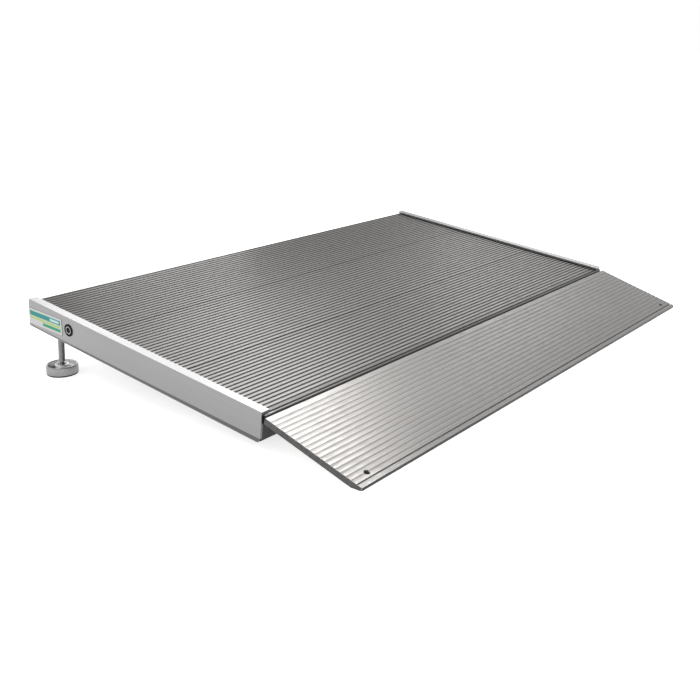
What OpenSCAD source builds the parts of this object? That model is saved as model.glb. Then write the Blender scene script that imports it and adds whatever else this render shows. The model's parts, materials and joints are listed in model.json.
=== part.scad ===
// Threshold ramp: three ribbed deck planks between two side rails, a hinged approach plate
// at the low end and two screw-adjusted swivel legs at the high end.
// Millimetres, Z up, floor at Z = 0, X across the ramp, +Y towards the doorway.
// Deck coordinates are x, u (up the slope from the rail's low end) and w (square to the deck).

/* [Overall] */
// Width over the rails and the approach plate
overall_w = 914.4; // [760:0.1:1100]
// Length of the side rails, up the slope
rail_l = 465; // [400:1:560]
// Slope of the deck at rest, degrees
deck_slope = 6.8; // [4:0.1:10]
// Height of the rail's underside over the floor at the low end, before the heel cut
low_gap = 9.35; // [5:0.05:16]

/* [Side rails] */
// Depth of the rail, top to underside
rail_h = 44.5; // [42:0.5:52]
// Wall thickness of the rail
rail_t = 3; // [2:0.1:4]
// Width of the lip over the deck's edge
lip_w = 13.6; // [8:0.1:20]
// Width of the flange under the planks
flange_w = 30; // [28:0.5:40]
// Thickness of that flange
flange_t = 4; // [3.2:0.1:6]
// Outside radius of the rail's bottom edge
rail_bend = 6.5; // [5:0.1:9]
// Length of the slanting heel cut under the rail's low end
heel_l = 8; // [4:0.5:9]
// Height of that cut
heel_h = 9.5; // [6:0.5:12]

/* [Deck planks] */
// Distance from rail top down to the ridge tops
curb = 4; // [3:0.1:7]
// Distance from one ridge to the next
ridge_pitch = 7.73; // [7.2:0.01:8.6]
// Depth of the grooves between ridges
groove_d = 1.5; // [0.8:0.1:2]
// Width of a groove at its mouth
groove_w = 3.7; // [2.4:0.1:4.6]
// Solid thickness of the deck skin under the grooves
skin_t = 2.7; // [2:0.1:3.5]
// Thickness of the ribs under the skin
rib_t = 2.2; // [1.8:0.1:3.5]
// Place of the inner rib between a plank's outer ribs
inner_rib = 0.44; // [0.38:0.01:0.47]

/* [Approach plate] */
// Length of the plate, hinge edge to tip
plate_l = 149.1; // [110:0.1:190]
// Thickness of the plate
plate_t = 8.6; // [8:0.1:10]
// Thickness left at the tip
tip_t = 4.2; // [2.5:0.1:5]
// Radius of the hinge bulb
bulb_r = 3.6; // [3.2:0.05:4]
// Screw hole diameter
fix_hole_d = 5.5; // [4.5:0.1:6.5]
// Screw hole distance from the plate's side
fix_hole_side = 27; // [20:0.5:60]
// Screw hole distance from the tip
fix_hole_tip = 15.6; // [14:0.1:40]

/* [Legs] */
// Distance of the leg's axis from the rail's outer face
leg_in = 16.5; // [14:0.1:20]
// Distance of the leg's axis from the rail's high end
leg_back = 52; // [37:0.5:57]
// Diameter of the threaded stem
stem_d = 9.5; // [8:0.1:11]
// Diameter of the swivel foot
foot_d = 46; // [40:0.5:52]
// Height of the swivel foot
foot_h = 14; // [12:0.1:18]

/* [Labels] */
// Length of the label
label_l = 79; // [40:1:82]
// Height of the label
label_h = 23.5; // [10:0.5:25]
// Diameter of the round badge
badge_d = 17.7; // [10:0.1:24]

/* [Hidden] */
$fn = 48;
gap = 0.3; // Between pieces that don't touch
run_fit = 0.05; // Radial clearance of pins, screws and balls
half_w = overall_w / 2;
plank_half = half_w - rail_t - gap;

// Deck frame
corner_z = low_gap + rail_h * cos(deck_slope);
lip_t = curb - 0.8;
round_r = 1; // Rounding of the rail lip's edge

// Planks along the slope
plank_end = rail_l - 1.8;
first_groove = rail_l - 6.4;
seam_upper = first_groove - 19 * ridge_pitch;
wide_land = ridge_pitch + 0.9;
seam_lower = seam_upper - 20 * ridge_pitch - wide_land;
nose_u = -3.2;
nose_r = 2;
nose_groove_u = 0.9;
front_grooves = 1 + floor((seam_lower - nose_groove_u) / ridge_pitch - 0.9);
web_u = 2.4;
ridge_w = -curb;
groove_slant = 0.5;
skin_w = ridge_w - groove_d - skin_t;
foot_w = -(rail_h - flange_t - gap);
boss_w = 11;
boss_h = 8;
seam_gap = 0.4;
tongue_w = skin_w - 6.8;
tongue_t = 2.4;
tongue_l = 3.5;
block_l = 7; // Thick edge that takes the tongue
block_h = 8;

// Countersunk rail and bracket screws
screw_r = 3;
screw_l = 11;
head_r = 5.6;
head_h = 2.7;
sink_gap = 0.35; // Between a screw's head and its countersink
pilot_l = 9.5;
screw_x = half_w - 14;
front_screw_u = heel_l + head_r + sink_gap + 2;
bracket_screw_v = 17.5;

// Hinge, in deck coordinates
hinge_u = -1;
hinge_w = ridge_w - 6.5;
socket_r = bulb_r + 0.25;
jaw_r = socket_r + 2.35;
hinge_z = corner_z + hinge_u * sin(deck_slope) + hinge_w * cos(deck_slope);

// Approach plate, in its own frame: a away from the hinge axis, b square to the plate
plate_top = 6.25;
plate_root = 3.7;
plate_tip = plate_root + plate_l;
tip_low = plate_top - tip_t;
tip_reach = sqrt(plate_tip * plate_tip + tip_low * tip_low);
plate_slope = asin(hinge_z / tip_reach) + atan2(tip_low, plate_tip);
plate_bottom = plate_top - plate_t;
bevel_l = (plate_t - tip_t) / tan(plate_slope);
plate_fold = plate_slope - deck_slope;
lip_reach = hinge_u - nose_u - 0.2;
lip_rise = sqrt(socket_r * socket_r - lip_reach * lip_reach);
stop_gap = 0.1;
neck_top = lip_reach * sin(plate_fold) + lip_rise * cos(plate_fold) - stop_gap;
neck_low = -1.6;
tip_groove_a = 7.7; // From the tip back to the deep groove
tip_groove_w = 2.4;
tip_groove_d = 1.6;
plate_groove_w = 3.8; // Shallow grooves over the rest of the plate
plate_groove_d = 0.5;
plate_groove_slant = 1.2;
root_groove_a = 10.5; // From the hinge edge to the first shallow groove
plate_grooves = 1 + floor((plate_l - root_groove_a - tip_groove_a) / ridge_pitch - 0.5);

// Legs
leg_x = half_w - leg_in;
leg_u = rail_l - leg_back;
ball_r = 5.6;
seat_t = 1.05;
sole_t = 2;
cavity_r = ball_r + seat_t + 2 * run_fit;
ball_z = sole_t + 1.15 + cavity_r;
leg_len = (corner_z + leg_u * sin(deck_slope) - ball_z) / cos(deck_slope);
rim_rise = 0.8; // Room for the seat's rim to lift as the foot rolls
seat_top = 2.3; // Heights over the ball's centre, up to the next blank line
ring_low = seat_top + rim_rise;
ring_h = 1;
ring_r = 7.85;

stem_r = stem_d / 2;
neck_r = 3.2;
bracket_h = 12;
bracket_l = 46;
bracket_top_w = foot_w + bracket_h;
bush_r = 8;
shoulder_r = 10;
bush_top_w = bracket_top_w + 3.2;
stem_top_w = bush_top_w - 4.5;
clip_t = 1.2;
clip_r = bush_r - 0.85;

// Label and badge on the left rail
film_gap = 0.1; // Between the film and the rail
label_t = 0.5;
badge_t = 0.7;
badge_back = 94.8; // From the rail's high end to the badge's centre

// Ramp centred over its footprint
tip_y = -(plate_tip * cos(plate_slope) + plate_top * sin(plate_slope));
low_y = hinge_u * cos(deck_slope) - hinge_w * sin(deck_slope) + tip_y;
high_y = rail_l * cos(deck_slope) + rail_h * sin(deck_slope);
deck_y = -(low_y + high_y) / 2;
hinge_y = deck_y + hinge_u * cos(deck_slope) - hinge_w * sin(deck_slope);
ball_y = deck_y + leg_u * cos(deck_slope) + leg_len * sin(deck_slope);

alloy = [0.72, 0.73, 0.74];
zinc = [0.62, 0.63, 0.65];
nylon = [0.86, 0.85, 0.80];
rubber = [0.12, 0.12, 0.12];

// Places its children in deck coordinates
module on_deck() {
    translate([0, deck_y, corner_z]) rotate([deck_slope, 0, 0]) children();
}

// Draws a profile given as u and w, stretched across the ramp
module across(half) {
    translate([-half, 0, 0]) rotate([90, 0, 90]) linear_extrude(2 * half) children();
}

// Stands its children on one leg's ball centre, level with the floor; side is -1 or 1
module at_foot(side) {
    translate([side * leg_x, ball_y, ball_z]) children();
}

// Places its children on one leg's axis, square to the deck
module on_leg(side) {
    on_deck() translate([side * leg_x, leg_u, 0]) children();
}

// Screw positions along a rail: under the outer ribs of each plank
function outer_bosses(low, high) = [low + boss_w / 2 + seam_gap, high - boss_w / 2 - seam_gap];
function rail_screw_u() = concat(
    [front_screw_u, seam_lower - boss_w / 2 - seam_gap],
    outer_bosses(seam_lower, seam_upper),
    outer_bosses(seam_upper, plank_end));

// Rail section, drawn from the outer face inwards
module rail_section() {
    translate([0, -rail_h + rail_bend]) square([rail_t, rail_h - rail_bend]);
    translate([0, -lip_t]) square([lip_w - round_r, lip_t]);
    translate([lip_w - round_r, -round_r]) circle(r = round_r);
    translate([lip_w - 2 * round_r, -lip_t]) square([2 * round_r, lip_t - round_r]);
    translate([rail_bend, -rail_h]) square([flange_w - rail_bend, flange_t]);
    difference() {
        translate([rail_bend, -rail_h + rail_bend]) circle(r = rail_bend);
        translate([rail_t, -rail_h + flange_t]) square(2 * rail_bend);
        translate([0, -rail_h + rail_bend]) square(2 * rail_bend);
        translate([rail_bend, -rail_h]) square(2 * rail_bend);
    }
}

// Countersunk hole for a rail screw, from the underside of the flange
module screw_hole() {
    translate([0, 0, -1]) cylinder(h = flange_t + 2, r = screw_r + 0.2);
    cylinder(h = head_h + 0.2, r1 = head_r + sink_gap, r2 = screw_r + 0.2);
    translate([0, 0, -1]) cylinder(h = 1, r = head_r + sink_gap);
}

// Wedge that takes the bottom corner off a rail's low end, so that it clears the floor
module heel_cut() {
    over = 1;
    across(half_w + over) polygon([
        [-over, -rail_h - over], [-over, heel_h * (1 + over / heel_l) - rail_h],
        [heel_l * (1 + over / heel_h), -rail_h - over]]);
}

module side_rail(side) {
    color(alloy) on_deck() difference() {
        scale([side, 1, 1]) translate([half_w, rail_l, 0]) rotate([90, 0, 0])
            linear_extrude(rail_l) mirror([1, 0, 0]) rail_section();
        for (u = rail_screw_u()) translate([side * screw_x, u, -rail_h]) screw_hole();
        for (v = [-1, 1])
            translate([side * leg_x, leg_u + v * bracket_screw_v, -rail_h]) screw_hole();
        translate([side * leg_x, leg_u, -rail_h - 1])
            cylinder(h = flange_t + 2, r = shoulder_r + run_fit);
        heel_cut();
    }
}

// Grooved skin between two places on the slope, with grooves at the listed centres
module skin(low, high, grooves) {
    difference() {
        translate([low, skin_w]) square([high - low, ridge_w - skin_w]);
        for (g = grooves) translate([g, ridge_w]) groove(groove_w, groove_d, groove_slant);
    }
}

// One groove with sloping sides, cut down from the surface
module groove(width, depth, slant) {
    polygon([[-width / 2, 0.1], [width / 2, 0.1], [width / 2, 0], [width / 2 - slant, -depth],
             [slant - width / 2, -depth], [-width / 2, 0]]);
}

// Rib down to the rail flange, with a screw boss centred on u
module rib(u, rib_u) {
    translate([rib_u - rib_t / 2, foot_w]) square([rib_t, skin_w - foot_w + 0.5]);
    translate([u - boss_w / 2, foot_w]) square([boss_w, boss_h]);
}

// Rib at a plank's lower or upper edge; dir points into the plank
module edge_rib(edge, dir) {
    rib(edge + dir * (seam_gap / 2 + boss_w / 2), edge + dir * (seam_gap / 2 + rib_t / 2));
}

// Rib between the outer ribs of a plank
module mid_rib(low, high) {
    mid = low + boss_w / 2 + inner_rib * (high - low - boss_w);
    rib(mid, mid);
}

// Tongue at a plank's upper edge, reaching into the next plank
module seam_tongue(seam) {
    translate([seam - 2, tongue_w - tongue_t / 2]) square([2 + tongue_l, tongue_t]);
}

// Thick edge with the slot that takes the tongue
module seam_block(seam) {
    translate([seam + seam_gap / 2, tongue_w - block_h / 2]) square([block_l, block_h]);
}
module seam_slot(seam) {
    slot = tongue_t + 2 * gap;
    translate([seam - 1, tongue_w - slot / 2]) square([1 + tongue_l + gap, slot]);
}

function grooves_down(start, count) = [for (k = [0 : count - 1]) start - k * ridge_pitch];

module upper_profile() {
    difference() {
        union() {
            skin(seam_upper + seam_gap / 2, plank_end, grooves_down(first_groove, 20));
            edge_rib(seam_upper, 1);
            mid_rib(seam_upper, plank_end);
            edge_rib(plank_end + seam_gap / 2, -1);
            seam_block(seam_upper);
        }
        seam_slot(seam_upper);
    }
}

module middle_profile() {
    difference() {
        union() {
            skin(seam_lower + seam_gap / 2, seam_upper - seam_gap / 2,
                 concat(grooves_down(seam_upper, 21), [seam_lower]));
            edge_rib(seam_lower, 1);
            mid_rib(seam_lower, seam_upper);
            edge_rib(seam_upper, -1);
            seam_block(seam_lower);
        }
        seam_slot(seam_lower);
    }
    seam_tongue(seam_upper);
}

// Mouth of the hinge socket: from the nose's lip round to the lower jaw
module socket_mouth() {
    far = 20;
    lower = 72;
    polygon([[0, 0], [1 - lip_reach, lip_rise], [-far, lip_rise], [-far, -far],
             [-far * cos(lower), -far * sin(lower)]]);
}

// Disc round the socket, cut off inside the rounded nose
module jaw() {
    inside = 0.4;
    difference() {
        translate([hinge_u, hinge_w]) circle(r = jaw_r);
        translate([nose_u + nose_r + inside - jaw_r, hinge_w - jaw_r / 2]) square([jaw_r, 2 * jaw_r]);
    }
}

module front_profile() {
    difference() {
        union() {
            skin(nose_u + nose_r, seam_lower - seam_gap / 2, grooves_down(seam_lower, front_grooves));
            translate([nose_u + nose_r, ridge_w - nose_r]) circle(r = nose_r);
            translate([nose_u, hinge_w]) square([6, ridge_w - nose_r - hinge_w]);
            jaw();
            translate([web_u, foot_w]) square([rib_t, hinge_w - foot_w]);
            translate([web_u, foot_w]) square([front_screw_u + boss_w / 2 - web_u, boss_h]);
            mid_rib(web_u, seam_lower);
            edge_rib(seam_lower, -1);
        }
        translate([nose_groove_u, ridge_w]) groove(groove_w, groove_d, groove_slant);
        translate([hinge_u, hinge_w]) circle(r = socket_r);
        translate([hinge_u, hinge_w]) socket_mouth();
    }
    seam_tongue(seam_lower);
}

// Hole that a screw's shank sits in, from a foot's underside up
module pilot_hole() {
    translate([0, 0, -1]) cylinder(h = pilot_l + 1, r = screw_r);
}

// A plank: its profile stretched between the rails, with pilot holes for the rail screws
module plank(holes) {
    color(alloy) on_deck() difference() {
        across(plank_half) children();
        for (side = [-1, 1], u = holes) translate([side * screw_x, u, foot_w]) pilot_hole();
    }
}

module upper_deck_plank() {
    plank(outer_bosses(seam_upper, plank_end)) upper_profile();
}

module middle_deck_plank() {
    plank(outer_bosses(seam_lower, seam_upper)) middle_profile();
}

module front_deck_plank() {
    plank([front_screw_u, seam_lower - boss_w / 2 - seam_gap]) front_profile();
}

// Plate section: a runs towards the tip as -x, b is y
module plate_section() {
    difference() {
        polygon([[-plate_root, plate_bottom + 1], [-plate_root - 1, plate_bottom],
                 [bevel_l - plate_tip, plate_bottom], [-plate_tip, tip_low],
                 [-plate_tip, plate_top - 0.6], [0.6 - plate_tip, plate_top],
                 [-plate_root - 0.8, plate_top], [-plate_root, plate_top - 0.8]]);
        for (k = [0 : plate_grooves - 1])
            translate([-plate_root - root_groove_a - k * ridge_pitch, plate_top])
                groove(plate_groove_w, plate_groove_d, plate_groove_slant);
        translate([tip_groove_a - plate_tip, plate_top])
            groove(tip_groove_w, tip_groove_d, groove_slant);
    }
}

// Neck and bulb that turn in the front plank's socket
module knuckle_section() {
    circle(r = bulb_r);
    translate([-plate_root - 1.5, neck_low]) square([plate_root + 1.5, neck_top - neck_low]);
}

// Rounds one outer corner of the tip
module tip_corner(side) {
    r = 3;
    reach = r + 1;
    translate([side * (half_w - r), r - plate_tip, plate_bottom - 1]) difference() {
        translate([side > 0 ? 0 : -reach, -reach, 0]) cube([reach, reach, plate_t + 2]);
        translate([0, 0, -1]) cylinder(h = plate_t + 4, r = r);
    }
}

// Countersunk fixing hole through the plate
module fixing_hole() {
    r = fix_hole_d / 2;
    sink = 1.2;
    translate([0, 0, -plate_t - 1]) cylinder(h = plate_t + 2, r = r);
    translate([0, 0, -sink]) cylinder(h = sink + 0.01, r1 = r, r2 = r + sink);
}

module approach_plate() {
    color(alloy) translate([0, hinge_y, hinge_z]) rotate([plate_slope, 0, 0]) {
        difference() {
            across(half_w) plate_section();
            for (side = [-1, 1]) {
                tip_corner(side);
                translate([side * (half_w - fix_hole_side), fix_hole_tip - plate_tip, plate_top])
                    fixing_hole();
            }
        }
        across(plank_half - 0.6) knuckle_section();
    }
}

// Countersunk socket screw standing on its head, tip up
module flat_screw() {
    key_r = 2.2;
    key_depth = 1.8;
    difference() {
        union() {
            cylinder(h = head_h, r1 = head_r, r2 = screw_r - run_fit);
            cylinder(h = screw_l, r = screw_r - run_fit);
        }
        translate([0, 0, -1]) cylinder(h = key_depth + 1, r = key_r, $fn = 6);
    }
}

module rail_screws(side) {
    color(zinc) on_deck() for (u = rail_screw_u())
        translate([side * screw_x, u, -rail_h + run_fit]) flat_screw();
}

module leg_bracket(side) {
    width = flange_w - rail_t - gap;
    color(alloy) on_leg(side) difference() {
        scale([side, 1, 1]) translate([leg_in - rail_t - gap - width, -bracket_l / 2, foot_w])
            cube([width, bracket_l, bracket_h]);
        translate([0, 0, foot_w - 1]) cylinder(h = bracket_h + 2, r = bush_r + run_fit);
        for (v = [-1, 1]) translate([0, v * bracket_screw_v, foot_w]) pilot_hole();
    }
}

module leg_bracket_screws() {
    color(zinc) for (side = [-1, 1], v = [-1, 1])
        on_leg(side) translate([0, v * bracket_screw_v, -rail_h + run_fit]) flat_screw();
}

// Threaded bush: a shoulder in the rail flange carries the load, a snap ring holds it up,
// and two small holes in the underside take a pin spanner
module adjuster_bush(side) {
    pin_r = 1.4;
    pin_depth = 2.5;
    color(zinc) on_leg(side) difference() {
        union() {
            translate([0, 0, -rail_h]) cylinder(h = bush_top_w + rail_h, r = bush_r);
            translate([0, 0, -rail_h]) cylinder(h = flange_t, r = shoulder_r);
        }
        translate([0, 0, -rail_h - 1])
            cylinder(h = bush_top_w + rail_h + 2, r = stem_r + run_fit);
        for (v = [-1, 1]) translate([0, v * (stem_r + shoulder_r) / 2, -rail_h - 1])
            cylinder(h = pin_depth + 1, r = pin_r);
        translate([0, 0, bracket_top_w + gap]) difference() {
            cylinder(h = clip_t + 0.2, r = bush_r + 1);
            translate([0, 0, -1]) cylinder(h = clip_t + 3, r = clip_r - run_fit);
        }
    }
}

// Open snap ring in the bush's groove
module bush_clip(side) {
    color(zinc) on_leg(side) translate([0, 0, bracket_top_w + gap + 0.1]) difference() {
        cylinder(h = clip_t, r = bush_r + 2);
        translate([0, 0, -1]) cylinder(h = clip_t + 2, r = clip_r);
        translate([-2, 0, -1]) cube([4, bush_r + 4, clip_t + 2]);
    }
}

// Leg stem: ball, slim neck, then the threaded rod with a chamfered top
module leg_stem(side) {
    rod_low = 8;
    rod_high = leg_len + stem_top_w;
    chamfer = 1.2;
    color(zinc) on_leg(side) translate([0, 0, -leg_len]) {
        sphere(r = ball_r);
        cylinder(h = rod_low + 0.5, r = neck_r);
        translate([0, 0, rod_low]) cylinder(h = chamfer, r1 = neck_r, r2 = stem_r);
        translate([0, 0, rod_low + chamfer]) cylinder(h = rod_high - rod_low - 2 * chamfer, r = stem_r);
        translate([0, 0, rod_high - chamfer]) cylinder(h = chamfer, r1 = stem_r, r2 = stem_r - 1);
    }
}

// Nylon shell round the ball, open at the top
module ball_seat(side) {
    inner = ball_r + run_fit;
    outer = inner + seat_t;
    color(nylon) at_foot(side) difference() {
        sphere(r = outer);
        sphere(r = inner);
        translate([-outer, -outer, seat_top]) cube(2 * outer);
    }
}

// Steel ring over the seat, in the cup's counterbore
module seat_ring(side) {
    hole_r = ball_r - 0.2; // Clear of the ball, over the seat's rim
    color(zinc) at_foot(side) translate([0, 0, ring_low]) difference() {
        cylinder(h = ring_h, r = ring_r);
        translate([0, 0, -1]) cylinder(h = ring_h + 2, r = hole_r);
    }
}

// Dished foot: outer wall, floor and a centre boss with the ball's cavity
module foot_cup(side) {
    r = foot_d / 2;
    inner = r - 2.6;
    floor_z = sole_t + 3.6;
    boss_r = 10;
    boss_top = ball_z + ring_low + ring_h;
    edge = 0.7;
    ring_seat = ring_low - run_fit;
    mouth_r = cavity_r * cos(asin(seat_top / cavity_r));
    color(zinc) translate([side * leg_x, ball_y, 0]) difference() {
        rotate_extrude() polygon([
            [0, sole_t], [r - 1, sole_t], [r, sole_t + 1], [r, foot_h - edge], [r - edge, foot_h],
            [inner + edge, foot_h], [inner, foot_h - edge], [inner - 1.5, floor_z + 1],
            [inner - 3, floor_z], [boss_r + 3, floor_z], [boss_r + 0.4, floor_z + 1.4],
            [boss_r, boss_top - edge], [boss_r - edge, boss_top], [0, boss_top]]);
        translate([0, 0, ball_z]) sphere(r = cavity_r);
        translate([0, 0, ball_z]) cylinder(h = ring_low, r = mouth_r);
        translate([0, 0, ball_z + ring_seat]) cylinder(h = ring_h + 1, r = ring_r + 2 * run_fit);
    }
}

// Rubber pad under the cup
module foot_sole(side) {
    edge = 0.6;
    r = foot_d / 2 - edge;
    top = sole_t - 0.1;
    color(rubber) translate([side * leg_x, ball_y, 0])
        rotate_extrude() polygon([[0, 0], [r - edge, 0], [r, edge], [r, top], [0, top]]);
}

// Plain label on the left rail, stuck on at a slight angle near the high end
module rail_label() {
    label_u = rail_l - 0.4 - label_l / 2;
    label_w = -22;
    tilt = -3.8;
    color([0.9, 0.92, 0.9]) on_deck()
        translate([-half_w - film_gap - label_t, label_u, label_w]) rotate([tilt, 0, 0])
            translate([0, -label_l / 2, -label_h / 2]) cube([label_t, label_l, label_h]);
}

module rail_badge() {
    badge_u = rail_l - badge_back;
    badge_w = -18.5;
    color(rubber) on_deck() translate([-half_w - film_gap, badge_u, badge_w]) rotate([0, -90, 0])
        cylinder(h = badge_t, d = badge_d);
}

side_rail(-1);  // left_side_rail
side_rail(1);  // right_side_rail
upper_deck_plank();
middle_deck_plank();
front_deck_plank();
approach_plate();
rail_screws(-1);  // left_rail_screws
rail_screws(1);  // right_rail_screws
leg_bracket(-1);  // left_leg_bracket
leg_bracket(1);  // right_leg_bracket
leg_bracket_screws();
adjuster_bush(-1);  // left_adjuster_bush
adjuster_bush(1);  // right_adjuster_bush
bush_clip(-1);  // left_bush_clip
bush_clip(1);  // right_bush_clip
leg_stem(-1);  // left_leg_stem
leg_stem(1);  // right_leg_stem
ball_seat(-1);  // left_ball_seat
ball_seat(1);  // right_ball_seat
foot_cup(-1);  // left_foot_cup
foot_cup(1);  // right_foot_cup
seat_ring(-1);  // left_seat_ring
seat_ring(1);  // right_seat_ring
foot_sole(-1);  // left_foot_sole
foot_sole(1);  // right_foot_sole
rail_label();
rail_badge();
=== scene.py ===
"""Looks of the threshold ramp: materials, threaded stems, turned feet, camera and studio light."""

import json
import math

import bmesh
import bpy
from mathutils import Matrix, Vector


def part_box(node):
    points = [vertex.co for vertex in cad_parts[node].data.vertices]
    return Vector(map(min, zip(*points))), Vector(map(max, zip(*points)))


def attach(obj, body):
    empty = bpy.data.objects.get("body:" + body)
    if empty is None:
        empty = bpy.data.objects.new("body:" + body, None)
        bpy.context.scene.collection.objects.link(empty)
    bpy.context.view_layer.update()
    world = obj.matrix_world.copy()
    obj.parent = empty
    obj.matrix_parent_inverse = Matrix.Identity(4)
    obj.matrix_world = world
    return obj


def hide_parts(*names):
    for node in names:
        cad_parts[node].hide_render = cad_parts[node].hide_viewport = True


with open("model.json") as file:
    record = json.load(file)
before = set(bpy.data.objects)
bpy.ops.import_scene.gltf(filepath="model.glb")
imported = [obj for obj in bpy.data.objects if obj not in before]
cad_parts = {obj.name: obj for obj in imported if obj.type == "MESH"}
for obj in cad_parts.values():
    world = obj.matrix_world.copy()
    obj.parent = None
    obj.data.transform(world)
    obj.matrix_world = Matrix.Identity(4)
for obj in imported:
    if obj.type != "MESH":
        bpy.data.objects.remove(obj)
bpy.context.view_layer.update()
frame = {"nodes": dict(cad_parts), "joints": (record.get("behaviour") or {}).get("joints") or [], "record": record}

MM = 0.001
JOINTS = {joint["name"]: joint for joint in frame["joints"]}
MOUNTS = {mount["name"]: mount for mount in frame["record"]["mounts"]}
SIDES = ("left", "right")
ACROSS = Vector((1, 0, 0))
FORWARD = Vector((0, 1, 0))
UP = Vector((0, 0, 1))

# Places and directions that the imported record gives
HINGE = Vector(JOINTS["approach_plate_hinge"]["pos_m"])
FOOT_MIDDLE = Vector(JOINTS["right_foot_pitch"]["pos_m"])
SCREW_HOLE = Vector(MOUNTS["right_floor_screw_hole"]["pos_m"])
DECK_UP = Vector(JOINTS["left_leg_height"]["axis"])
PLATE_UP = Vector(MOUNTS["left_floor_screw_hole"]["axis"])
SLOPE = math.atan2(-DECK_UP.y, DECK_UP.z)
UP_SLOPE = Vector((0, math.cos(SLOPE), math.sin(SLOPE)))

# Surfaces of the CAD model: heights over the hinge's axis, then distances up the slope from it,
# the last pair being where the front plank's front face ends
RIDGE_OVER_HINGE = 6.5 * MM
PLATE_OVER_HINGE = 6.25 * MM
RAIL_OVER_HINGE = 10.5 * MM
SEAMS_FROM_HINGE = (149.5 * MM, 312.73 * MM)
FRONT_FACE_END = (8 * MM, 10 * MM)

# Distances from the ramp's middle: the inner edge of the rail's lip, and where the rail's inner
# side gives way to its outer face
LIP_EDGE = 443.6 * MM
RAIL_INSIDE = (455.2 * MM, 456.8 * MM)

# Heights against the rail's top: the lip's underside, down to which the lip's painted highlight reaches, and
# the top of the low band of painted shade, which falls by a share of the way up the slope; both have a soft edge
LIP_UNDERSIDE = -3.8 * MM
SHADE_BAND_TOP = -35.2 * MM
SHADE_BAND_FALL = 0.0075
RAIL_SOFT_EDGE = 0.4 * MM

# Leg stem, in millimetres from the ball's centre
BALL_R = 5.6
BALL_INSET = 0.02
NECK_R = 3.2
NECK_START = BALL_R - 0.6
NECK_L = 8.0
STEM_R = 4.75
STEM_CHAMFER = 1.0

# Stem's thread, in millimetres; half its crest and its flank are shares of a turn
THREAD_PITCH = 1.5875
THREAD_DEPTH = 0.75
THREAD_INSET = 1.2
CREST_HALF = 1 / 12
FLANK = 1 / 3

# Meshes of stem and foot: how finely they are divided, and the angles in degrees that stay sharp
RINGS_PER_TURN = 8
STEM_SEGMENTS = 48
FOOT_SEGMENTS = 128
STEM_SHARP_ANGLE = 50
FOOT_SHARP_ANGLE = 32

# Foot, in millimetres from the floor and from its axis
SOLE_T = 2.0
FOOT_R = 23.0
FOOT_H = 14.0
RIM_INNER_R = FOOT_R - 2.6
RIM_FLARE_R = RIM_INNER_R - 0.3
RIM_FLARE_H = FOOT_H - 3.2
DISH_R = RIM_INNER_R - 1.0
DISH_FLOOR = SOLE_T + 3.6
BOSS_R = 10.0
BOSS_FOOT_R = 10.8

# Radii of the foot's rounded edges and hollows, in millimetres
BASE_EDGE = 1.0
RIM_OUTER_EDGE = 1.1
RIM_INNER_EDGE = 0.9
DISH_HOLLOW = 2.4
BOSS_HOLLOW = 1.8
BOSS_EDGE = 0.8

# Seat of the ball and the ring over it, in millimetres from the ball's centre
SEAT_T = 1.05
SEAT_GAP = 0.1
CAVITY_R = BALL_R + SEAT_T + SEAT_GAP
SEAT_TOP = 2.3
RING_LOW = 3.05
RING_H = 1.05
RING_R = 7.95

# Softboxes: share of their direction along X, angle above the horizon behind the ramp, watts
SOFTBOXES = (
    (0.45, 90, 6.5),
    (0.45, 65, 2.0),
    (0.45, 15, 1.8),
    (0.60, 65, 2.0),
    (0.88, 65, 0.9),
)
SOFTBOX_SIZE = 0.5
SOFTBOX_REACH = 1.3
LIT_PLACE = Vector((-0.1, 0, 0.05))
FLOOR_HALF_WIDTH = 30
FLOOR_GLOW = 0.72

# Camera of the photograph: place in metres, angles in degrees, sensor and lens in millimetres
CAMERA_PLACE = (-1.14541, -0.84590, 0.45894)
CAMERA_DOWN = 18.823
CAMERA_TURN = -51.081
SENSOR_WIDTH = 36
FOCAL_LENGTH = 46.742


def grey(value, warm=0.0):
    """A grey, a little redder than blue where warm is above 0."""
    return (value * (1 + warm), value, value * (1 - warm), 1)


# Grime in the seams, painted shade and a painted highlight: the distances between which each changes, its share at
# both, and the grey it mixes in
SEAM_GRIME = (1.5 * MM, 3.5 * MM, 0.5, 0.0, grey(0.04))
# Painted shade along the hinge's nose, where the plate meets the deck
HINGE_SHADE = (6 * MM, 12 * MM, 0.6, 0.0, grey(0.06))
# Painted shade towards the deck's high end
HIGH_END_SHADE = (180 * MM, 440 * MM, 0.0, 0.4, grey(0.08, 0.03))
# Painted shade towards the plate's tip
TIP_SHADE = (-90 * MM, -5 * MM, 0.0, 0.15, grey(0.12, 0.03))
# Painted shade on the front face of the plate's tip
TIP_FACE_SHADE = (-0.7 * MM, -0.3 * MM, 0.0, 1.0, grey(0.05))
# Painted shade in the plate's screw holes
HOLE_SHADE = (3.2 * MM, 4.4 * MM, 0.85, 0.0, grey(0.05))
# Painted highlight inside the feet's dishes
DISH_HIGHLIGHT = (21.0 * MM, 21.8 * MM, 1.0, 0.0, grey(0.75))

# Painted highlight on the ribs beside the lips: distances from the ramp's middle, heights against the ribs'
# tops, share and grey; then the grey of the painted shade on the front plank's front face
LIT_RIB_STRIP = (LIP_EDGE - 9 * MM, LIP_EDGE - 2 * MM)
LIT_RIB_HEIGHTS = (-2.5 * MM, -1.5 * MM)
LIT_RIB_SHARE = 0.55
LIT_RIB_GREY = grey(0.45)
PLANK_FRONT_SHADE = grey(0.085)

# Cosines between which a face begins to look along a direction, up or down
FACING = (0.85, 0.95)
FACING_UP = (0.3, 0.8)
FACING_DOWN = (-0.12, -0.03)

# Ribbed aluminium: where its grooves' tone changes from left to right, as painted light and shade, in metres,
# and the roughness that grooves and sawn ends add
GROOVE_LIGHT_CHANGE = (-0.35, 0.1)
ROUGHER = 0.12

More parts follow.
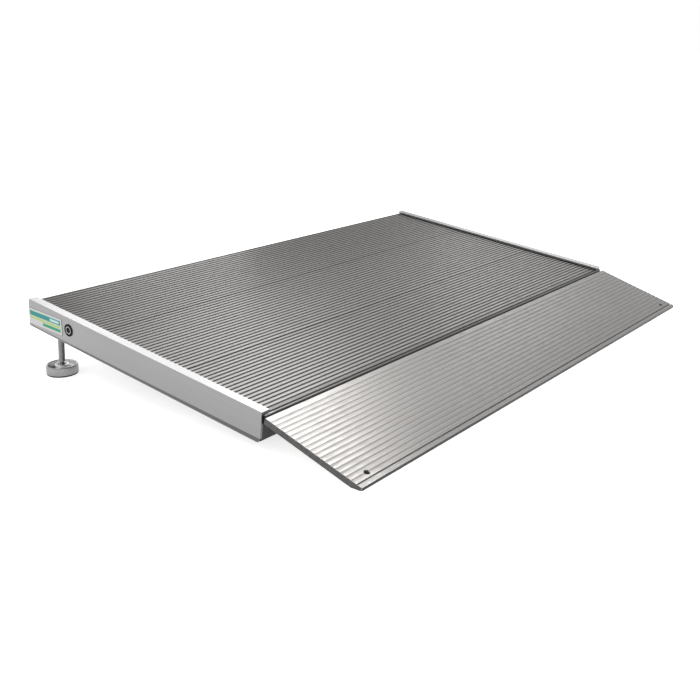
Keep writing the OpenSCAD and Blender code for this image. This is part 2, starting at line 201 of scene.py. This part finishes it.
# Noise: the values between which most of it lies, and its own roughness
NOISE_SPAN = (0.3, 0.7)
NOISE_ROUGHNESS = 0.55

# Added to a tangent, so that it isn't zero where the grain runs into the surface
NEVER_ZERO = (0.003, 0.01, 0.02)

# Floor, nylon and rubber, and the films' colours
FLOOR_GREY = grey(0.8)
NYLON = (0.78, 0.76, 0.69, 1)
RUBBER = grey(0.03)
FILM_WHITE = grey(0.62)
TEAL = (0.02, 0.28, 0.25, 1)
PALE_TEAL = (0.55, 0.75, 0.72, 1)
LIME = (0.38, 0.62, 0.04, 1)
GREEN = (0.03, 0.33, 0.16, 1)

# Label: its lean, a little less than the slope; bottom, top, left and right of each panel, in
# millimetres from its middle; and how soft the printed edges are
LABEL_LEAN = SLOPE - math.radians(3.8)
LABEL_PANELS = (
    (1.5, 8.5, -36.5, 36.5, TEAL),
    (3.2, 6.8, -33.0, -12.0, PALE_TEAL),
    (-2.6, -0.4, -36.5, 36.5, LIME),
    (-8.5, -4.2, -36.5, 6.0, GREEN),
)
LABEL_SOFT_EDGE = 0.12 * MM

# Badge: colours of its disc and ring, the ring's inner and outer radius, and its edges' softness
BADGE_BLACK = grey(0.012)
BADGE_PALE = grey(0.75)
BADGE_RING = (4.5 * MM, 5.4 * MM)
BADGE_SOFT_EDGE = 0.1 * MM


class Nodes:
    """Short calls for building one material's nodes."""

    def __init__(self, name):
        self.material = bpy.data.materials.new(name)
        self.material.use_nodes = True
        self.tree = self.material.node_tree
        self.shader = self.tree.nodes["Principled BSDF"]
        self.place = self.add("ShaderNodeTexCoord").outputs["Object"]

    def add(self, kind, **settings):
        node = self.tree.nodes.new(kind)
        for key, value in settings.items():
            setattr(node, key, value)
        return node

    def feed(self, socket, value):
        """Links an output to a socket, or sets its value."""
        if isinstance(value, bpy.types.NodeSocket):
            self.tree.links.new(value, socket)
        else:
            socket.default_value = value

    def math(self, operation, first, second=0.0, clamp=False):
        node = self.add("ShaderNodeMath", operation=operation, use_clamp=clamp)
        self.feed(node.inputs[0], first)
        self.feed(node.inputs[1], second)
        return node.outputs[0]

    def vector(self, operation, first, second=(0, 0, 0)):
        node = self.add("ShaderNodeVectorMath", operation=operation)
        self.feed(node.inputs[0], first)
        self.feed(node.inputs[1], second)
        return node.outputs["Value" if operation in ("DOT_PRODUCT", "LENGTH") else "Vector"]

    def along(self, direction, offset=0.0):
        """Distance of the shaded point along a direction, less an offset."""
        return self.math("SUBTRACT", self.vector("DOT_PRODUCT", self.place, direction), offset)

    def from_hinge(self, direction, offset=0.0):
        """Distance of the shaded point from the hinge's axis along a direction, less an offset."""
        return self.along(direction, HINGE.dot(direction) + offset)

    def outwards(self):
        """Distance of the shaded point from the ramp's middle, alike on both sides."""
        return self.math("ABSOLUTE", self.along(ACROSS))

    def radius(self, middle, length_way):
        """Distance of the shaded point from an axis through a place, or through its mirror image."""
        sideways = self.math("SUBTRACT", self.outwards(), middle.x)
        lengthways = self.along(length_way, middle.dot(length_way))
        squares = [self.math("MULTIPLY", way, way) for way in (sideways, lengthways)]
        return self.math("SQRT", self.math("ADD", squares[0], squares[1]))

    def normal(self, kind="Normal"):
        return self.add("ShaderNodeNewGeometry").outputs[kind]

    def ramp(self, value, low, high, to_low=0.0, to_high=1.0):
        """Value mapped from one range to another, held at the ends."""
        node = self.add("ShaderNodeMapRange", interpolation_type="SMOOTHSTEP")
        for socket, number in zip(node.inputs, (value, low, high, to_low, to_high)):
            self.feed(socket, number)
        return node.outputs["Result"]

    def under(self, value, limit, soft):
        """1 under a limit and 0 over it, with a soft edge."""
        return self.ramp(value, limit - soft, limit + soft, 1.0, 0.0)

    def over(self, value, limit, soft):
        """1 over a limit and 0 under it, with a soft edge."""
        return self.ramp(value, limit - soft, limit + soft)

    def band(self, value, low, high, soft):
        """1 between two limits, with soft edges."""
        return self.math("MULTIPLY", self.over(value, low, soft), self.under(value, high, soft))

    def faces(self, direction, either_way=False):
        """1 on the flat faces that look along a direction, or also against it."""
        facing = self.vector("DOT_PRODUCT", self.normal("True Normal"), direction)
        if either_way:
            facing = self.math("ABSOLUTE", facing)
        return self.ramp(facing, *FACING)

    def mix(self, factor, first, second, share=1.0):
        """Colour between two colours; the factor counts for a share."""
        if share != 1.0:
            factor = self.math("MULTIPLY", factor, share)
        node = self.add("ShaderNodeMix", data_type="RGBA")
        self.feed(node.inputs["Factor"], factor)
        self.feed(node.inputs[6], first)
        self.feed(node.inputs[7], second)
        return node.outputs[2]

    def grime_and_painted_light(self, tone, distance, kind):
        """Tone with one mark mixed in by a distance: grime, painted shade or a painted highlight."""
        low, high, share_low, share_high, mixed_grey = kind
        return self.mix(self.ramp(distance, low, high, share_low, share_high), tone, mixed_grey)

    def noise_at(self, place, detail=2.0, roughness=0.5):
        """Noise with about one cell to each unit of a place."""
        node = self.add("ShaderNodeTexNoise")
        self.feed(node.inputs["Vector"], place)
        self.feed(node.inputs["Scale"], 1.0)
        self.feed(node.inputs["Detail"], detail)
        self.feed(node.inputs["Roughness"], roughness)
        return node.outputs["Fac"]

    def noise(self, stretch, detail=3.0, seed=(0, 0, 0)):
        """Noise whose cells per metre along X, Y and Z are given."""
        mapping = self.add("ShaderNodeMapping")
        self.feed(mapping.inputs["Location"], seed)
        self.feed(mapping.inputs["Scale"], stretch)
        self.feed(mapping.inputs["Vector"], self.place)
        return self.noise_at(mapping.outputs["Vector"], detail, NOISE_ROUGHNESS)

    def uneven(self, noise, middle, spread):
        """Roughness that a noise varies round its middle."""
        return self.ramp(noise, *NOISE_SPAN, middle - spread, middle + spread)

    def bump(self, height, strength, distance):
        node = self.add("ShaderNodeBump")
        self.feed(node.inputs["Strength"], strength)
        self.feed(node.inputs["Distance"], distance)
        self.feed(node.inputs["Height"], height)
        self.feed(self.shader.inputs["Normal"], node.outputs["Normal"])

    def brush(self, grain):
        """Gives the shader grain lines along a direction: highlights spread across them."""
        across = self.vector("CROSS_PRODUCT", self.normal(), grain)
        self.feed(self.shader.inputs["Tangent"], self.vector("ADD", across, NEVER_ZERO))

    def finish(self, colour, roughness, **constants):
        self.feed(self.shader.inputs["Base Color"], colour)
        self.feed(self.shader.inputs["Roughness"], roughness)
        for key, value in constants.items():
            self.shader.inputs[key.replace("_", " ")].default_value = value
        return self.material


def ribbed_aluminium(name, up, top, marks, colour, grooves, depth, end_tone):
    """Extruded aluminium with grooves and die lines along X.

    up and top place the ridges over the hinge, and marks is a function that adds one piece's marks: grime,
    painted shade and painted highlights. grooves are the grooves' tones at the left and at the right: oxide in
    the hollows, with painted light and shade that change from left to right; depth is how deep they are, and
    end_tone is the tone of the sawn ends: their own finish, darkened as painted shade.
    """
    nodes = Nodes(name)
    height = nodes.from_hinge(up, top)
    in_groove = nodes.ramp(height, -depth, -0.25 * depth, 1.0, 0.0)
    die_lines = nodes.noise((4, 2600, 2600), detail=2)
    clouds = nodes.noise((7, 11, 11), detail=4, seed=(3, 1, 2))
    patches = nodes.noise((60, 160, 160), seed=(8, 5, 4))
    darker = grey(colour * 0.93, warm=0.032)
    lighter = grey(colour * 1.07, warm=0.024)
    lined = grey(colour * 0.8, warm=0.028)
    left_groove, right_groove = (grey(groove, warm=0.045) for groove in grooves)

    tone = nodes.mix(clouds, darker, lighter)
    tone = nodes.mix(die_lines, tone, lined, share=0.35)
    # Painted light and shade: the grooves' tone changes from left to right
    rightwards = nodes.ramp(nodes.along(ACROSS), *GROOVE_LIGHT_CHANGE)
    groove_tone = nodes.mix(rightwards, left_groove, right_groove)
    tone = nodes.mix(in_groove, tone, groove_tone, share=0.8)
    tone = marks(nodes, tone)
    # Sawn ends take their own tone: their sawn finish, darkened as painted shade
    sawn_end = nodes.faces(ACROSS, either_way=True)
    tone = nodes.mix(sawn_end, tone, grey(end_tone))
    rough = nodes.uneven(patches, middle=0.36, spread=0.05)
    for mask in (in_groove, sawn_end):
        rough = nodes.math("ADD", rough, nodes.math("MULTIPLY", mask, ROUGHER))
    nodes.bump(die_lines, strength=0.18, distance=0.08 * MM)
    nodes.brush(ACROSS)
    return nodes.finish(tone, rough, Metallic=1.0, Anisotropic=0.8)


def deck_marks(nodes, tone):
    """Painted highlight on the ribs beside the lips, grime in the seams, and painted shade at the hinge, on the
    front plank's front face and towards the high end.
    """
    height = nodes.from_hinge(DECK_UP, RIDGE_OVER_HINGE)
    # Painted highlight on the ribs beside the lips
    beside_lip = nodes.ramp(nodes.outwards(), *LIT_RIB_STRIP, 0.0, LIT_RIB_SHARE)
    lit_ribs = nodes.math("MULTIPLY", beside_lip, nodes.ramp(height, *LIT_RIB_HEIGHTS))
    tone = nodes.mix(lit_ribs, tone, LIT_RIB_GREY)
    for seam in SEAMS_FROM_HINGE:
        from_seam = nodes.math("ABSOLUTE", nodes.from_hinge(UP_SLOPE, seam))
        tone = nodes.grime_and_painted_light(tone, from_seam, SEAM_GRIME)
    up_slope = nodes.from_hinge(UP_SLOPE)
    # Painted shade along the hinge and towards the deck's high end
    for kind in (HINGE_SHADE, HIGH_END_SHADE):
        tone = nodes.grime_and_painted_light(tone, up_slope, kind)
    # Painted shade on the front plank's front face
    at_hinge = nodes.ramp(up_slope, *FRONT_FACE_END, 1.0, 0.0)
    shaded_front = nodes.math("MULTIPLY", nodes.faces(-UP_SLOPE), at_hinge)
    return nodes.mix(shaded_front, tone, PLANK_FRONT_SHADE)


def plate_painted_shade(nodes, tone):
    """Painted shade: darker towards the tip, a dark front face at the tip, and dark screw holes."""
    tip_way = ACROSS.cross(PLATE_UP)
    tip_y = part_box("approach_plate")[0].y
    hinge_to_tip = (HINGE.y - tip_y + PLATE_OVER_HINGE * PLATE_UP.y) / PLATE_UP.z
    from_tip = nodes.from_hinge(tip_way, hinge_to_tip)
    for kind in (TIP_SHADE, TIP_FACE_SHADE):
        tone = nodes.grime_and_painted_light(tone, from_tip, kind)
    return nodes.grime_and_painted_light(tone, nodes.radius(SCREW_HOLE, tip_way), HOLE_SHADE)


def dish_painted_highlight(nodes, tone):
    """A painted highlight inside the feet's dishes."""
    return nodes.grime_and_painted_light(tone, nodes.radius(FOOT_MIDDLE, FORWARD), DISH_HIGHLIGHT)


def rail_aluminium(name, colour, lit_top_tone, roughness):
    """Satin extrusion with die lines up the slope; a painted highlight on the lip and on faces that look up, and
    painted shade on a low band and on faces that look down.
    """
    nodes = Nodes(name)
    across = nodes.along(ACROSS)
    length = nodes.along(UP_SLOPE)
    height = nodes.from_hinge(DECK_UP, RAIL_OVER_HINGE)
    stretched = nodes.add("ShaderNodeCombineXYZ")
    cells_per_metre = (2400, 5, 2400)
    for socket, way, cells in zip(stretched.inputs, (across, length, height), cells_per_metre):
        nodes.feed(socket, nodes.math("MULTIPLY", way, cells))
    die_lines = nodes.noise_at(stretched.outputs[0])
    clouds = nodes.noise((12, 6, 12), detail=4)
    darker = grey(colour * 0.95)
    lighter = grey(colour * 1.05)
    lined = grey(colour * 0.82)
    shade_grey = grey(colour * 0.4)
    sawn = grey(colour * 0.9)

    tone = nodes.mix(clouds, darker, lighter)
    tone = nodes.mix(die_lines, tone, lined, share=0.3)
    inside = nodes.ramp(nodes.outwards(), *RAIL_INSIDE, 1.0, 0.0)
    rise = nodes.vector("DOT_PRODUCT", nodes.normal(), UP)
    # Painted shade on a low band of the outer face, and on faces that look down
    fall = nodes.math("MULTIPLY", nodes.from_hinge(UP_SLOPE), SHADE_BAND_FALL)
    shade_band = nodes.under(nodes.math("ADD", height, fall), SHADE_BAND_TOP, RAIL_SOFT_EDGE)
    shade_band = nodes.math("SUBTRACT", shade_band, inside, clamp=True)
    shaded_underside = nodes.ramp(rise, *FACING_DOWN, 1.0, 0.0)
    tone = nodes.mix(nodes.math("MAXIMUM", shade_band, shaded_underside), tone, shade_grey)
    # Painted highlight on the lip and on faces that look up
    lip = nodes.math("MULTIPLY", nodes.over(height, LIP_UNDERSIDE, RAIL_SOFT_EDGE), inside)
    lit_top = nodes.math("MAXIMUM", lip, nodes.ramp(rise, *FACING_UP))
    tone = nodes.mix(lit_top, tone, grey(lit_top_tone))
    tone = nodes.mix(nodes.faces(UP_SLOPE, either_way=True), tone, sawn)
    rough = nodes.uneven(die_lines, roughness, spread=0.04)
    nodes.bump(die_lines, strength=0.12, distance=0.06 * MM)
    nodes.brush(UP_SLOPE)
    return nodes.finish(tone, rough, Metallic=1.0, Anisotropic=0.6)


def plated_steel(name, colour, roughness, spots, marks=None):
    """Zinc or nickel plating: bright, with faint cloudy spots."""
    nodes = Nodes(name)
    fine = nodes.noise((900, 900, 900), detail=2)
    clouds = nodes.noise((90, 90, 90), detail=4, seed=(2, 7, 5))
    spotted = grey(colour * 0.6, warm=0.02)
    tone = nodes.mix(clouds, grey(colour), spotted, share=spots)
    if marks:
        tone = marks(nodes, tone)
    rough = nodes.ramp(clouds, 0.35, 0.7, roughness, roughness + 0.12)
    nodes.bump(fine, strength=0.08, distance=0.05 * MM)
    return nodes.finish(tone, rough, Metallic=1.0)


def moulded(name, colour, roughness, grain, depth):
    """Moulded nylon or rubber with a fine grain."""
    nodes = Nodes(name)
    fine = nodes.noise((grain, grain, grain))
    clouds = nodes.noise((60, 60, 60), seed=(4, 4, 1))
    darker = tuple(0.86 * part for part in colour[:3]) + (1,)
    rough = nodes.uneven(fine, roughness, spread=0.06)
    nodes.bump(fine, strength=0.3, distance=depth)
    return nodes.finish(nodes.mix(clouds, colour, darker), rough)


def film(nodes, colour, roughness, spread, sheen):
    """Finishes a printed film's material with a very fine grain."""
    grain = nodes.noise((1500, 1500, 1500), detail=2)
    nodes.bump(grain, strength=0.05, distance=0.03 * MM)
    rough = nodes.uneven(grain, roughness, spread)
    return nodes.finish(colour, rough, Specular_IOR_Level=sheen)


def label_film(name):
    """White film with a teal bar that holds a pale panel, a lime line and a green panel."""
    nodes = Nodes(name)
    low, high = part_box("rail_label")
    middle = (low + high) / 2
    length_way = Vector((0, math.cos(LABEL_LEAN), math.sin(LABEL_LEAN)))
    height_way = Vector((0, -math.sin(LABEL_LEAN), math.cos(LABEL_LEAN)))
    length = nodes.along(length_way, length_way.dot(middle))
    height = nodes.along(height_way, height_way.dot(middle))
    colour = FILM_WHITE
    for bottom, top, left, right, tint in LABEL_PANELS:
        vertical = nodes.band(height, bottom * MM, top * MM, LABEL_SOFT_EDGE)
        horizontal = nodes.band(length, left * MM, right * MM, LABEL_SOFT_EDGE)
        colour = nodes.mix(nodes.math("MULTIPLY", vertical, horizontal), colour, tint)
    return film(nodes, colour, roughness=0.33, spread=0.05, sheen=0.15)


def badge_film(name):
    """Black round film with a plain pale ring."""
    nodes = Nodes(name)
    low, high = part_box("rail_badge")
    middle = (low + high) / 2
    from_middle = nodes.vector("SUBTRACT", nodes.place, middle)
    radius = nodes.vector("LENGTH", nodes.vector("MULTIPLY", from_middle, (0, 1, 1)))
    ring = nodes.band(radius, *BADGE_RING, BADGE_SOFT_EDGE)
    colour = nodes.mix(ring, BADGE_BLACK, BADGE_PALE)
    return film(nodes, colour, roughness=0.36, spread=0.06, sheen=0.02)


def dress(node, material):
    """Puts one material on a CAD node."""
    target = frame["nodes"][node]
    if not target.material_slots:
        target.data.materials.append(material)
    for slot in target.material_slots:
        slot.material = material


def finish_mesh(name, mesh, material, sharp_angle):
    """A smooth-shaded object of the mesh, with edges kept sharp above an angle in degrees."""
    bmesh.ops.recalc_face_normals(mesh, faces=mesh.faces)
    for face in mesh.faces:
        face.smooth = True
    for edge in mesh.edges:
        edge.smooth = edge.calc_face_angle(0) < math.radians(sharp_angle)
    data = bpy.data.meshes.new(name)
    mesh.to_mesh(data)
    mesh.free()
    piece = bpy.data.objects.new(name, data)
    piece.data.materials.append(material)
    bpy.context.scene.collection.objects.link(piece)
    return piece


def arc(centre, radius, start, stop, steps=6):
    """Points of an arc in a lathe profile; angles in degrees, 0 pointing outwards."""
    points = []
    for k in range(steps + 1):
        angle = math.radians(start + (stop - start) * k / steps)
        points.append((centre[0] + radius * math.cos(angle), centre[1] + radius * math.sin(angle)))
    return points


def ring_of_vertices(mesh, height, radii):
    """A ring round Z with one vertex for each radius, in millimetres."""
    ring = []
    for k, radius in enumerate(radii):
        angle = 2 * math.pi * k / len(radii)
        reach = radius * MM
        ring.append(mesh.verts.new((reach * math.cos(angle), reach * math.sin(angle), height * MM)))
    return ring


def skin(mesh, rings):
    """Faces between each ring and the next; one vertex on the axis can stand for a whole ring."""
    segments = len(rings[0])
    for low, high in zip(rings, rings[1:]):
        for k in range(segments):
            after = (k + 1) % segments
            corners = []
            for vertex in (low[k], low[after], high[after], high[k]):
                if vertex not in corners:
                    corners.append(vertex)
            if len(corners) > 2:
                mesh.faces.new(corners)


def turn(mesh, profile, segments):
    """Turns a profile of (radius, height) in millimetres round Z, and gives its rings."""
    rings = []
    for radius, height in profile:
        if radius == 0:
            rings.append([mesh.verts.new((0, 0, height * MM))] * segments)
        else:
            rings.append(ring_of_vertices(mesh, height, [radius] * segments))
    skin(mesh, rings)
    return rings


def thread_radius(height, turn_share, low, high):
    """Radius of the thread at a share of a turn, running out over one turn at each end."""
    from_crest = abs((height / THREAD_PITCH - turn_share) % 1.0 - 0.5)
    crest = min(1.0, max(0.0, 1 - (from_crest - CREST_HALF) / FLANK))
    run_out = min(1.0, (height - low) / THREAD_PITCH, (high - height) / THREAD_PITCH)
    return STEM_R - THREAD_DEPTH * (1 - crest) * max(0.0, run_out)


def threaded_stem(side, material):
    """Ball, slim neck and threaded rod along the leg's axis."""
    ball = Vector(JOINTS[side + "_foot_pitch"]["pos_m"])
    high_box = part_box(side + "_leg_stem")[1]
    length = (high_box.z - ball.z - STEM_R * MM * math.sin(SLOPE)) / math.cos(SLOPE) / MM
    low = NECK_L + THREAD_INSET
    high = length - THREAD_INSET
    profile = [(0, -BALL_R)]
    profile += arc((0, 0), BALL_R - BALL_INSET, -85, 55, 24)
    profile += [(NECK_R, NECK_START), (NECK_R, NECK_L)]
    mesh = bmesh.new()
    neck_end = turn(mesh, profile, STEM_SEGMENTS)[-1]
    rings = [neck_end]
    count = int((high - low) / (THREAD_PITCH / RINGS_PER_TURN))
    turn_shares = [k / STEM_SEGMENTS for k in range(STEM_SEGMENTS)]
    for k in range(count + 1):
        height = low + (high - low) * k / count
        radii = [thread_radius(height, share, low, high) for share in turn_shares]
        rings.append(ring_of_vertices(mesh, height, radii))
    rings.append(ring_of_vertices(mesh, length, [STEM_R - STEM_CHAMFER] * STEM_SEGMENTS))
    skin(mesh, rings)
    mesh.faces.new(rings[-1])
    lean = UP.rotation_difference(DECK_UP).to_matrix()
    for vertex in mesh.verts:
        vertex.co = ball + lean @ vertex.co
    piece = finish_mesh(side + "_threaded_stem", mesh, material, STEM_SHARP_ANGLE)
    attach(piece, side + "_leg")
    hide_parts(side + "_leg_stem")


def turned_foot(side, material):
    """The dished foot with rounded rims, round the ball seat."""
    ball = Vector(JOINTS[side + "_foot_pitch"]["pos_m"])
    ball_z = ball.z / MM
    ring_low = ball_z + RING_LOW
    boss_top = ring_low + RING_H
    mouth_r = math.sqrt(CAVITY_R * CAVITY_R - SEAT_TOP * SEAT_TOP)
    mouth_angle = math.degrees(math.asin(SEAT_TOP / CAVITY_R))
    profile = [(0, SOLE_T)]
    profile += arc((FOOT_R - BASE_EDGE, SOLE_T + BASE_EDGE), BASE_EDGE, -90, 0)
    profile += arc((FOOT_R - RIM_OUTER_EDGE, FOOT_H - RIM_OUTER_EDGE), RIM_OUTER_EDGE, 0, 90)
    profile += arc((RIM_INNER_R + RIM_INNER_EDGE, FOOT_H - RIM_INNER_EDGE), RIM_INNER_EDGE, 90, 180)
    profile += [(RIM_FLARE_R, RIM_FLARE_H)]
    profile += arc((DISH_R - DISH_HOLLOW, DISH_FLOOR + DISH_HOLLOW), DISH_HOLLOW, -10, -90)
    profile += arc((BOSS_FOOT_R + BOSS_HOLLOW, DISH_FLOOR + BOSS_HOLLOW), BOSS_HOLLOW, -90, -170)
    profile += arc((BOSS_R - BOSS_EDGE, boss_top - BOSS_EDGE), BOSS_EDGE, 0, 90)
    profile += [(RING_R, boss_top), (RING_R, ring_low), (mouth_r, ring_low)]
    profile += arc((0, ball_z), CAVITY_R, mouth_angle, -88, 20)
    profile += [(0, ball_z - CAVITY_R)]
    mesh = bmesh.new()
    turn(mesh, profile, FOOT_SEGMENTS)
    for vertex in mesh.verts:
        vertex.co += Vector((ball.x, ball.y, 0))
    piece = finish_mesh(side + "_turned_foot", mesh, material, FOOT_SHARP_ANGLE)
    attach(piece, side + "_foot")
    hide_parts(side + "_foot_cup")


def softbox(number, share_x, lift, power):
    """Square lamp aimed at the ramp from the right, and from behind or from overhead."""
    rest = math.sqrt(1 - share_x * share_x)
    angle = math.radians(lift)
    way = Vector((share_x, rest * math.cos(angle), rest * math.sin(angle)))
    name = "softbox_%d" % number
    light = bpy.data.lights.new(name, "AREA")
    light.size = SOFTBOX_SIZE
    light.energy = power
    lamp = bpy.data.objects.new(name, light)
    lamp.location = LIT_PLACE + SOFTBOX_REACH * way
    lamp.rotation_euler = (-way).to_track_quat("-Z", "Y").to_euler()
    bpy.context.scene.collection.objects.link(lamp)


def white_world():
    """World of plain white, for the eye, in reflections and as light."""
    world = bpy.data.worlds.new("studio")
    bpy.context.scene.world = world
    world.use_nodes = True
    background = world.node_tree.nodes["Background"]
    background.inputs["Color"].default_value = (1, 1, 1, 1)
    background.inputs["Strength"].default_value = 1.0


def pale_floor():
    """Pale floor that takes the ramp's shadow, and glows for the eye and in reflections."""
    mesh = bmesh.new()
    bmesh.ops.create_grid(mesh, x_segments=1, y_segments=1, size=FLOOR_HALF_WIDTH)
    data = bpy.data.meshes.new("floor")
    mesh.to_mesh(data)
    mesh.free()
    floor = bpy.data.objects.new("floor", data)
    bpy.context.scene.collection.objects.link(floor)
    nodes = Nodes("pale_floor")
    rays = nodes.add("ShaderNodeLightPath").outputs
    seen = rays["Is Camera Ray"]
    for kind in ("Is Glossy Ray", "Is Transmission Ray"):
        seen = nodes.math("MAXIMUM", seen, rays[kind])
    diffuse = nodes.add("ShaderNodeBsdfDiffuse")
    nodes.feed(diffuse.inputs["Color"], FLOOR_GREY)
    glow = nodes.add("ShaderNodeEmission")
    nodes.feed(glow.inputs["Strength"], nodes.math("MULTIPLY", seen, FLOOR_GLOW))
    both = nodes.add("ShaderNodeAddShader")
    nodes.feed(both.inputs[0], diffuse.outputs[0])
    nodes.feed(both.inputs[1], glow.outputs[0])
    nodes.feed(nodes.tree.nodes["Material Output"].inputs["Surface"], both.outputs[0])
    nodes.tree.nodes.remove(nodes.shader)
    data.materials.append(nodes.material)


def camera():
    """Camera at the photograph's angle, found from the ramp's corners and edges."""
    lens = bpy.data.cameras.new("photo_camera")
    lens.sensor_width = SENSOR_WIDTH
    lens.lens = FOCAL_LENGTH
    lens.clip_start = 0.01
    view = bpy.data.objects.new("photo_camera", lens)
    view.location = CAMERA_PLACE
    view.rotation_euler = (math.radians(90 - CAMERA_DOWN), 0, math.radians(CAMERA_TURN))
    bpy.context.scene.collection.objects.link(view)
    bpy.context.scene.camera = view


def main():
    camera()
    white_world()
    pale_floor()
    for number, (share_x, lift, power) in enumerate(SOFTBOXES, 1):
        softbox(number, share_x, lift, power)
    bpy.context.scene.view_settings.view_transform = "Standard"

    deck = ribbed_aluminium(
        "deck_aluminium", DECK_UP, RIDGE_OVER_HINGE, deck_marks,
        colour=0.18, grooves=(0.105, 0.135), depth=1.5 * MM, end_tone=0.09,
    )
    plate = ribbed_aluminium(
        "plate_aluminium", PLATE_UP, PLATE_OVER_HINGE, plate_painted_shade,
        colour=0.25, grooves=(0.28, 0.205), depth=0.5 * MM, end_tone=0.125,
    )
    # The rails' materials differ only in their lips: a strong painted highlight on the left, a faint one on the
    # right
    rails = {
        "left": rail_aluminium("left_rail_aluminium", 0.28, lit_top_tone=0.68, roughness=0.38),
        "right": rail_aluminium("right_rail_aluminium", 0.28, lit_top_tone=0.3, roughness=0.38),
    }
    bracket = rail_aluminium("bracket_aluminium", 0.3, lit_top_tone=0.34, roughness=0.45)
    zinc = plated_steel("zinc_steel", 0.38, roughness=0.28, spots=0.5)
    bright = plated_steel("foot_steel", 0.3, roughness=0.26, spots=0.3, marks=dish_painted_highlight)
    nylon = moulded("seat_nylon", NYLON, roughness=0.5, grain=1400, depth=0.04 * MM)
    rubber = moulded("sole_rubber", RUBBER, roughness=0.75, grain=1200, depth=0.1 * MM)

    for node in ("upper_deck_plank", "middle_deck_plank", "front_deck_plank"):
        dress(node, deck)
    dress("approach_plate", plate)
    dress("leg_bracket_screws", zinc)
    dress("rail_label", label_film("label_film"))
    dress("rail_badge", badge_film("badge_film"))
    for side in SIDES:
        dress(side + "_side_rail", rails[side])
        dress(side + "_leg_bracket", bracket)
        for ending in ("_rail_screws", "_adjuster_bush", "_bush_clip", "_seat_ring"):
            dress(side + ending, zinc)
        dress(side + "_ball_seat", nylon)
        dress(side + "_foot_sole", rubber)
        threaded_stem(side, zinc)
        turned_foot(side, bright)


main()
